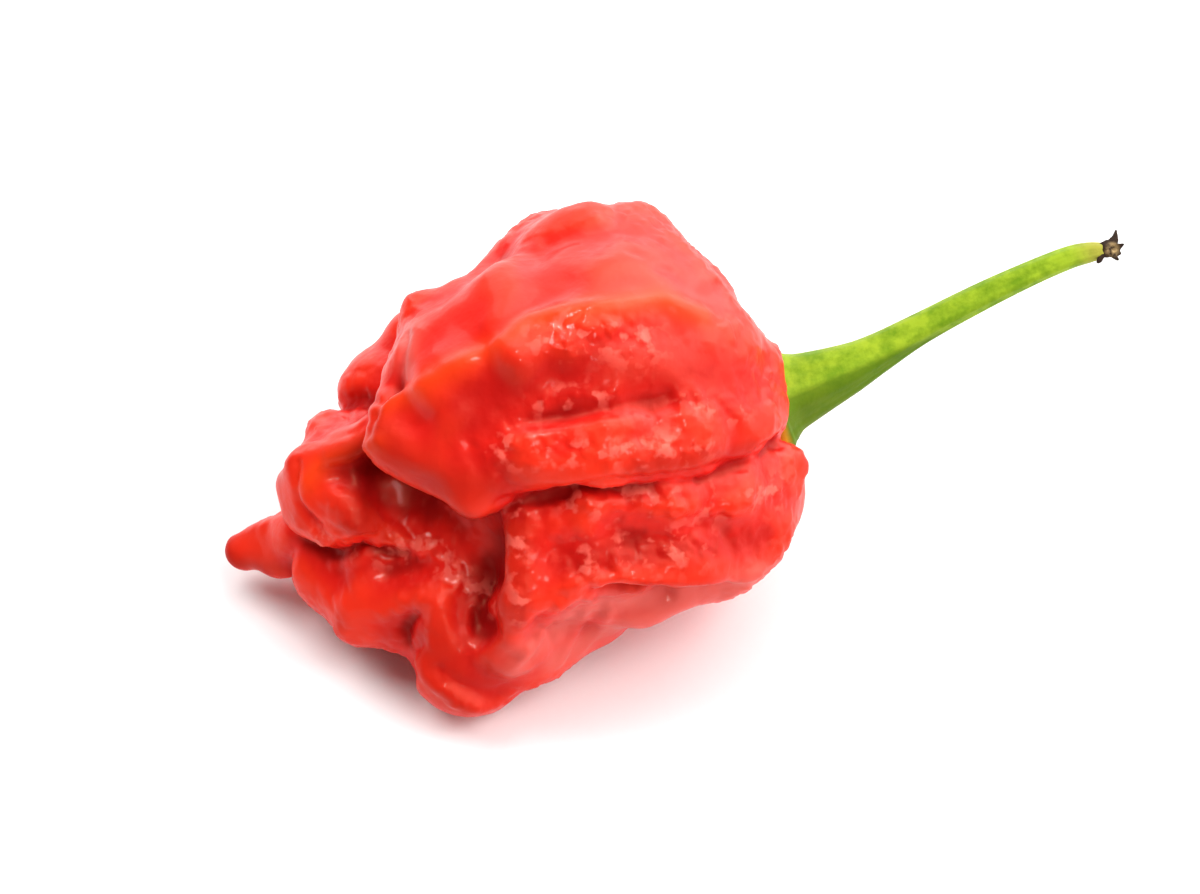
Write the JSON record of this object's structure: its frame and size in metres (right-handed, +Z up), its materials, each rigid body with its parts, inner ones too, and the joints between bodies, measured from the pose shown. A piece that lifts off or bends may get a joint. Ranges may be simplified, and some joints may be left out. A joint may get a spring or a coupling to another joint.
{
  "type": "hot pepper pod with stem",
  "caption": "Ripe red wrinkled hot pepper pod with folded lobes, a short tail and a long green stem, lying on its side to dress a table, stall or kitchen scene.",
  "frame": {"origin": "on the table under the middle of the whole pod's box, with the stem", "axes": "+Z up from the table; +X level, from the pod's tail towards the tip of the stem; +Y level, away from the show side"},
  "size_m": [0.0836, 0.038, 0.0375],
  "materials": {
    "fruit_skin": "waxy, glossy ripe red skin, orange along the sharpest folds",
    "green_stem": "smooth, faintly ribbed yellow-green plant stem with a soft sheen",
    "dry_bark": "dry, dull brown plant fibre"
  },
  "bodies": {
    "root": {"fruit": "fruit_skin", "stem": "green_stem", "dried_stem_end": "dry_bark"}
  },
  "joints": []
}
